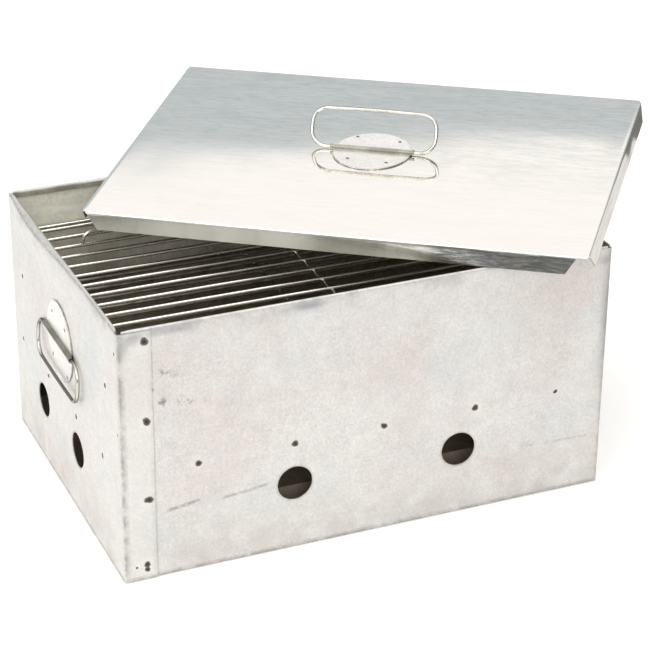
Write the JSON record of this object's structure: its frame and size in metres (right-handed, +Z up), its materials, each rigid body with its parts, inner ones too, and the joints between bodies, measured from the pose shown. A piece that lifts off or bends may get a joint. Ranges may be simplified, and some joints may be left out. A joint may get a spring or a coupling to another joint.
{
  "type": "hot smoker box",
  "caption": "Galvanised sheet-steel hot smoker box with a loose pan lid, lift-out wire racks and trays, low air holes and folding wire handles.",
  "frame": {"origin": "centre of the box's bottom face, on the surface it stands on; the askew lid reaches past the box on two sides", "axes": "+Z up; +X along the long front wall towards its right end; the front wall faces -Y"},
  "size_m": [0.528, 0.4635, 0.265],
  "materials": {
    "bottom_pan": "smoke-darkened",
    "bracket_left_back": "galvanised, matt",
    "bracket_left_front": "galvanised, matt",
    "bracket_right_back": "galvanised, matt",
    "bracket_right_front": "galvanised, matt",
    "drip_tray": "smoke-darkened",
    "ember_tray": "smoke-darkened",
    "ledge_back": "smoke-darkened",
    "ledge_front": "smoke-darkened",
    "ledge_left": "smoke-darkened",
    "ledge_right": "smoke-darkened",
    "left_handle_loop": "tinned, bright",
    "left_handle_plate": "galvanised, satin",
    "lid_handle_loop": "tinned, bright",
    "lid_handle_plate": "galvanised, satin",
    "lid_pan": "galvanised, bright",
    "rack_bow_left": "tinned, bright",
    "rack_bow_right": "tinned, bright",
    "rack_lower": "tinned, bright",
    "rack_upper": "tinned, bright",
    "right_handle_loop": "tinned, bright",
    "right_handle_plate": "galvanised, satin",
    "shell_back_left": "galvanised, matt",
    "shell_front_right": "galvanised, matt"
  },
  "bodies": {
    "box": {"shell_front_right": "shell_front_right", "shell_back_left": "shell_back_left", "bottom_pan": "bottom_pan", "ledge_front": "ledge_front", "ledge_back": "ledge_back", "ledge_left": "ledge_left", "ledge_right": "ledge_right", "bracket_left_front": "bracket_left_front", "bracket_left_back": "bracket_left_back", "bracket_right_front": "bracket_right_front", "bracket_right_back": "bracket_right_back", "left_handle_plate": "left_handle_plate", "right_handle_plate": "right_handle_plate"},
    "lid": {"lid_pan": "lid_pan", "lid_handle_plate": "lid_handle_plate"},
    "lid_loop": {"lid_handle_loop": "lid_handle_loop"},
    "left_loop": {"left_handle_loop": "left_handle_loop"},
    "right_loop": {"right_handle_loop": "right_handle_loop"},
    "upper_rack": {"rack_upper": "rack_upper", "rack_bow_left": "rack_bow_left", "rack_bow_right": "rack_bow_right"},
    "lower_rack": {"rack_lower": "rack_lower"},
    "drip_pan": {"drip_tray": "drip_tray"},
    "ember_pan": {"ember_tray": "ember_tray"}
  },
  "joints": [
    {"name": "lid_lift", "type": "slide", "parent": "box", "child": "lid", "axis": [0, 0, 1], "range_m": [0, 0.4]},
    {"name": "lid_handle_hinge", "type": "hinge", "parent": "lid", "child": "lid_loop", "pos_m": [0.08219, 0.05183, 0.2338], "axis": [0.7867, -0.6168, 0.0255], "range_deg": [-56, 115]},
    {"name": "left_handle_hinge", "type": "hinge", "parent": "box", "child": "left_loop", "pos_m": [-0.2021, 0.0045, 0.1355], "axis": [0, 1, 0], "range_deg": [0, 171]},
    {"name": "right_handle_hinge", "type": "hinge", "parent": "box", "child": "right_loop", "pos_m": [0.2021, 0.0045, 0.1355], "axis": [0, -1, 0], "range_deg": [0, 171]},
    {"name": "upper_rack_lift", "type": "slide", "parent": "box", "child": "upper_rack", "axis": [0, 0, 1], "range_m": [0, 0.32]},
    {"name": "lower_rack_lift", "type": "slide", "parent": "box", "child": "lower_rack", "axis": [0, 0, 1], "range_m": [0, 0.28]},
    {"name": "drip_pan_lift", "type": "slide", "parent": "box", "child": "drip_pan", "axis": [0, 0, 1], "range_m": [0, 0.24]},
    {"name": "ember_pan_lift", "type": "slide", "parent": "box", "child": "ember_pan", "axis": [0, 0, 1], "range_m": [0, 0.212]}
  ],
  "couplings": [
    {"joint": "upper_rack_lift", "follows": "lid_lift", "ratio": 0.8},
    {"joint": "lower_rack_lift", "follows": "lid_lift", "ratio": 0.7},
    {"joint": "drip_pan_lift", "follows": "lid_lift", "ratio": 0.6},
    {"joint": "ember_pan_lift", "follows": "lid_lift", "ratio": 0.53}
  ]
}
